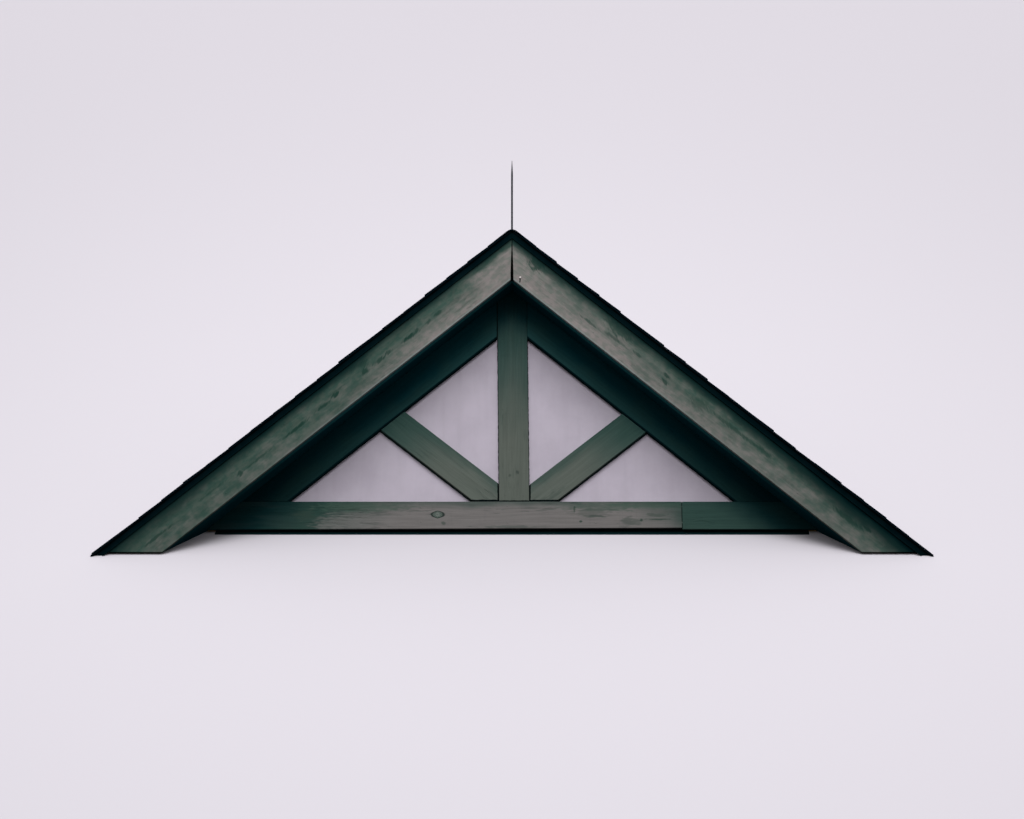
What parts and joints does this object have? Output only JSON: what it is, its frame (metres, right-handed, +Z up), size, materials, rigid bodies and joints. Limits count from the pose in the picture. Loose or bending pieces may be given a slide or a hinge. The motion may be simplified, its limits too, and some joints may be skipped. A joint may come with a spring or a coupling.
{
  "type": "gable dormer with closed panels",
  "caption": "Half-timbered gable dormer that stands on a sloping roof, with closed panels between boards, a shingled roof with an overhang, and a rod on its ridge.",
  "frame": {"origin": "middle of the sole plate's underside, in the plane of the main roof's deck", "axes": "-Y is the front of the dormer, +X its right side seen from the front, +Z up; the main roof rises 10 in 12 towards +Y"},
  "size_m": [3.84, 1.9302, 2.0663],
  "materials": {
    "framing_timber": "matte",
    "sheathing": "matte",
    "roof_deck": "matte",
    "panel_paint": "matte",
    "post_paint": "matte",
    "strut_paint": "matte",
    "frieze_paint": "matte",
    "sill_paint": "matte",
    "verge_paint": "matte",
    "soffit_paint": "matte",
    "shingle": "matte",
    "coated_metal": "satin",
    "rod_metal": "matte"
  },
  "bodies": {
    "root": {"sole_plate": "framing_timber", "valley_sleeper_left": "framing_timber", "valley_sleeper_right": "framing_timber", "ridge_board": "framing_timber", "gable_studs": "framing_timber", "gable_rafter_left": "framing_timber", "gable_rafter_right": "framing_timber", "jack_rafters_left": "framing_timber", "jack_rafters_right": "framing_timber", "lookouts_left": "framing_timber", "lookouts_right": "framing_timber", "fly_rafter_left": "soffit_paint", "fly_rafter_right": "soffit_paint", "wall_sheathing": "sheathing", "upper_panel_left": "panel_paint", "upper_panel_right": "panel_paint", "lower_panel_left": "panel_paint", "lower_panel_right": "panel_paint", "king_post": "post_paint", "strut_left": "strut_paint", "strut_right": "strut_paint", "frieze_left": "frieze_paint", "frieze_right": "frieze_paint", "sill_board_long": "sill_paint", "sill_board_short": "post_paint", "soffit_left": "soffit_paint", "soffit_right": "soffit_paint", "bargeboard_left": "verge_paint", "bargeboard_right": "verge_paint", "roof_deck_left": "roof_deck", "roof_deck_right": "roof_deck", "drip_edge_left": "coated_metal", "drip_edge_right": "coated_metal", "shingles_left": "shingle", "shingles_right": "shingle", "ridge_caps": "shingle", "wall_flashing": "coated_metal", "rod_base": "rod_metal", "lightning_rod": "rod_metal"}
  },
  "joints": []
}
